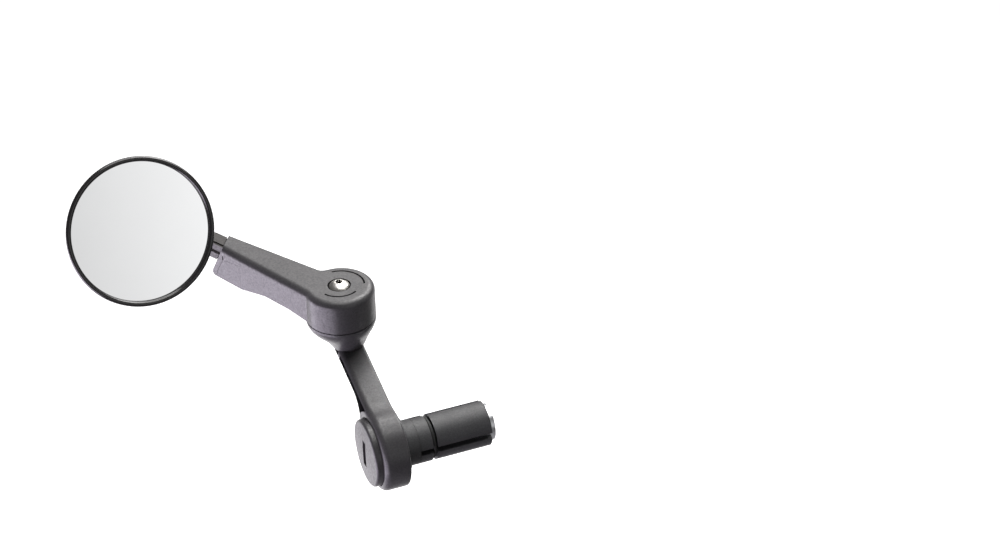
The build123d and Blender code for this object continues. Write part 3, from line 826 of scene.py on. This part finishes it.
class BARMIRROR_OT_mouldings(bpy.types.Operator):
    """Finish the moulded plastic pieces"""

    bl_idname = "barmirror.mouldings"
    bl_label = "Moulded pieces"

    def execute(self, context):
        colours = context.scene.bar_mirror_finishes
        sizes = context.scene.bar_mirror_sizes
        spark = grained_plastic("spark grained plastic", colours.arm_grey)
        for node in ("lower_arm", "arm_side_panel", "end_cap"):
            dress_node(node, spark)
        # The arm's top gets painted shade: black in the recess round the screw head.
        recess_shaded = grained_plastic("engraved plastic", colours.arm_grey)
        drum_top = Vector(joint_named("knuckle_fold")["pos_m"])
        drum_top.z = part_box("upper_arm")[1][2]
        paint_recess_shade(recess_shaded, drum_top, sizes.recess_reach, sizes.recess_depth)
        dress_node("upper_arm", recess_shaded)
        satin = grained_plastic("satin plastic", colours.stem_grey, 0.5 * MM, 0.008 * MM, gloss=0.2)
        dress_node("mirror_stem", satin)
        back = grained_plastic("grained back", colours.housing_black, 0.6 * MM, 0.03 * MM, roughness=0.45)
        for node in ("mirror_housing", "socket_nut"):
            dress_node(node, back)
        plug = grained_plastic("plug plastic", colours.plug_black, 0.5 * MM, roughness=0.5)
        for node in ("plug_collar", "expander_jaw_1", "expander_jaw_2", "expander_jaw_3"):
            dress_node(node, plug)
        natural = grained_plastic(
            "natural plastic", colours.natural, 0.5 * MM, 0.01 * MM, roughness=0.4, change=0.04
        )
        for node in ("friction_washer", "socket_liner"):
            dress_node(node, natural)
        rubber = grained_plastic("rubber", colours.rubber, 0.3 * MM, 0.01 * MM, roughness=0.6)
        for node in ("jaw_ring", "glass_pad"):
            dress_node(node, rubber)
        return {"FINISHED"}


class BARMIRROR_OT_metal_parts(bpy.types.Operator):
    """Finish the metal pieces"""

    bl_idname = "barmirror.metal_parts"
    bl_label = "Metal pieces"

    def execute(self, context):
        colours = context.scene.bar_mirror_finishes
        zinc = bare_metal("zinc plate", colours.zinc, 0.34)
        for node in ("expander_bolt", "bolt_washer", "spring_plate", "knuckle_spring"):
            dress_node(node, zinc)
        dress_node("expander_cone", bare_metal("turned aluminium", colours.aluminium, 0.3))
        dress_node("threaded_insert", bare_metal("brass", colours.brass, 0.28))
        return {"FINISHED"}


def add_softbox(name, heading, distance, width, height, radiance, colour):
    """A lamp that faces the part from a heading, as bright as its radiance and unseen by the camera."""
    middle = Vector(STAGE_MIDDLE)
    place = middle + Vector(heading).normalized() * distance
    bpy.ops.object.light_add(type="AREA", location=place)
    lamp = bpy.context.object
    lamp.name = name
    lamp.data.shape = "RECTANGLE"
    lamp.data.size = width
    lamp.data.size_y = height
    lamp.data.energy = radiance * pi * width * height
    lamp.data.color = colour
    lamp.visible_camera = False
    lamp.rotation_euler = (middle - place).to_track_quat("-Z", "Y").to_euler()


def ramp(nodes, links, value, start, end, low, high):
    """A value's stretch from start to end turned into one from low to high, softly."""
    scale = nodes.new("ShaderNodeMapRange")
    scale.interpolation_type = "SMOOTHSTEP"
    scale.inputs["From Min"].default_value = start
    scale.inputs["From Max"].default_value = end
    scale.inputs["To Min"].default_value = low
    scale.inputs["To Max"].default_value = high
    links.new(value, scale.inputs["Value"])
    return scale.outputs["Result"]


class BARMIRROR_OT_stage(bpy.types.Operator):
    """Set the floor, the studio light and the camera"""

    bl_idname = "barmirror.stage"
    bl_label = "Stage"

    def execute(self, context):
        values = context.scene.bar_mirror_stage
        context.scene.view_settings.view_transform = "Standard"
        self.add_floor(values)
        self.add_world(context.scene)
        self.add_lamps()
        self.add_camera(context.scene, values)
        return {"FINISHED"}

    def add_floor(self, values):
        bpy.ops.object.select_all(action="DESELECT")
        bpy.ops.mesh.primitive_plane_add(size=values.floor_size, location=(0, 0, -values.floor_drop))
        floor = bpy.context.object
        piece_name(floor, "studio_floor")
        material, nodes, links, shader, coordinates = blank_material("white floor")
        shader.inputs["Roughness"].default_value = 0.9
        shader.inputs["Specular IOR Level"].default_value = 0.1
        split = nodes.new("ShaderNodeSeparateXYZ")
        links.new(coordinates.outputs["Object"], split.inputs[0])
        path = nodes.new("ShaderNodeLightPath")
        behind = ramp(nodes, links, split.outputs["Y"], *FLOOR_FADE, 0, 1)
        fade = joined(nodes, links, "MAXIMUM", behind, path.outputs["Is Camera Ray"])
        tone = nodes.new("ShaderNodeMix")
        tone.data_type = "RGBA"
        tone.inputs["A"].default_value = (*values.floor_front, 1)
        tone.inputs["B"].default_value = (*values.floor_white, 1)
        links.new(fade, tone.inputs["Factor"])
        links.new(tone.outputs["Result"], shader.inputs["Base Color"])
        shader.inputs["Emission Color"].default_value = (1, 1, 1, 1)
        seen = joined(nodes, links, "MAXIMUM", path.outputs["Is Camera Ray"], path.outputs["Is Glossy Ray"])
        seen = joined(nodes, links, "MAXIMUM", seen, path.outputs["Is Transmission Ray"])
        glow = joined(nodes, links, "MULTIPLY", fade, FLOOR_GLOW)
        links.new(joined(nodes, links, "MULTIPLY", seen, glow), shader.inputs["Emission Strength"])
        floor.data.materials.append(material)

    def add_world(self, scene):
        world = bpy.data.worlds.new("studio")
        scene.world = world
        world.use_nodes = True
        nodes = world.node_tree.nodes
        links = world.node_tree.links
        background = nodes["Background"]
        coordinates = nodes.new("ShaderNodeTexCoord")
        split = nodes.new("ShaderNodeSeparateXYZ")
        links.new(coordinates.outputs["Generated"], split.inputs[0])
        shade = nodes.new("ShaderNodeMapRange")
        shade.inputs["From Min"].default_value = CARD_SIDES[0]
        shade.inputs["From Max"].default_value = CARD_SIDES[1]
        shade.inputs["To Min"].default_value = CARD_SHADES[0]
        shade.inputs["To Max"].default_value = CARD_SHADES[1]
        links.new(split.outputs["X"], shade.inputs["Value"])
        toward = nodes.new("ShaderNodeVectorMath")
        toward.operation = "DOT_PRODUCT"
        toward.inputs[1].default_value = CARD_HEADING
        links.new(coordinates.outputs["Generated"], toward.inputs[0])
        card = nodes.new("ShaderNodeMapRange")
        card.interpolation_type = "SMOOTHSTEP"
        card.inputs["From Min"].default_value = cos(CARD_REACH)
        card.inputs["From Max"].default_value = cos(CARD_CORE)
        card.inputs["To Min"].default_value = ROOM_LIGHT
        links.new(toward.outputs["Value"], card.inputs["Value"])
        links.new(shade.outputs["Result"], card.inputs["To Max"])
        path = nodes.new("ShaderNodeLightPath")
        lit = joined(nodes, links, "MAXIMUM", card.outputs["Result"], path.outputs["Is Camera Ray"])
        links.new(lit, background.inputs["Strength"])
        background.inputs["Color"].default_value = (1, 1, 1, 1)

    def add_lamps(self):
        for softbox in SOFTBOXES:
            add_softbox(*softbox)

    def add_camera(self, scene, values):
        back = Vector(
            (
                sin(values.azimuth) * cos(values.elevation),
                -cos(values.azimuth) * cos(values.elevation),
                sin(values.elevation),
            )
        )
        level = Vector((cos(values.azimuth), sin(values.azimuth), 0))
        upright = back.cross(level)
        across = level * cos(values.roll) + upright * sin(values.roll)
        up = upright * cos(values.roll) - level * sin(values.roll)
        turn = Matrix((across, up, back)).transposed()
        place = turn.to_4x4()
        place.translation = -(turn @ Vector(values.offset))
        bpy.ops.object.camera_add()
        camera = bpy.context.object
        camera.name = "photo_camera"
        camera.matrix_world = place
        camera.data.lens = values.lens
        camera.data.sensor_width = 36
        camera.data.clip_start = 0.01
        scene.camera = camera


class BARMIRROR_PT_panel(bpy.types.Panel):
    """The pieces of the bar end mirror and its stage"""

    bl_idname = "BARMIRROR_PT_panel"
    bl_label = "Bar End Mirror"
    bl_space_type = "VIEW_3D"
    bl_region_type = "UI"
    bl_category = "Bar Mirror"

    def draw(self, context):
        for operator in OPERATORS:
            self.layout.operator(operator.bl_idname)


OPERATORS = (
    BARMIRROR_OT_mouldings,
    BARMIRROR_OT_metal_parts,
    BARMIRROR_OT_glass,
    BARMIRROR_OT_bezel,
    BARMIRROR_OT_knuckle_screw,
    BARMIRROR_OT_groove_arcs,
    BARMIRROR_OT_stage,
)
GROUPS = (BARMIRROR_PG_sizes, BARMIRROR_PG_finishes, BARMIRROR_PG_stage)
CLASSES = GROUPS + OPERATORS + (BARMIRROR_PT_panel,)


def register():
    for item in CLASSES:
        bpy.utils.register_class(item)
    bpy.types.Scene.bar_mirror_sizes = PointerProperty(type=BARMIRROR_PG_sizes)
    bpy.types.Scene.bar_mirror_finishes = PointerProperty(type=BARMIRROR_PG_finishes)
    bpy.types.Scene.bar_mirror_stage = PointerProperty(type=BARMIRROR_PG_stage)


def unregister():
    del bpy.types.Scene.bar_mirror_stage
    del bpy.types.Scene.bar_mirror_finishes
    del bpy.types.Scene.bar_mirror_sizes
    for item in reversed(CLASSES):
        bpy.utils.unregister_class(item)


def main():
    register()
    bpy.ops.barmirror.mouldings()
    bpy.ops.barmirror.metal_parts()
    bpy.ops.barmirror.glass()
    bpy.ops.barmirror.bezel()
    bpy.ops.barmirror.knuckle_screw()
    bpy.ops.barmirror.groove_arcs()
    bpy.ops.barmirror.stage()


if __name__ == "__main__":
    main()
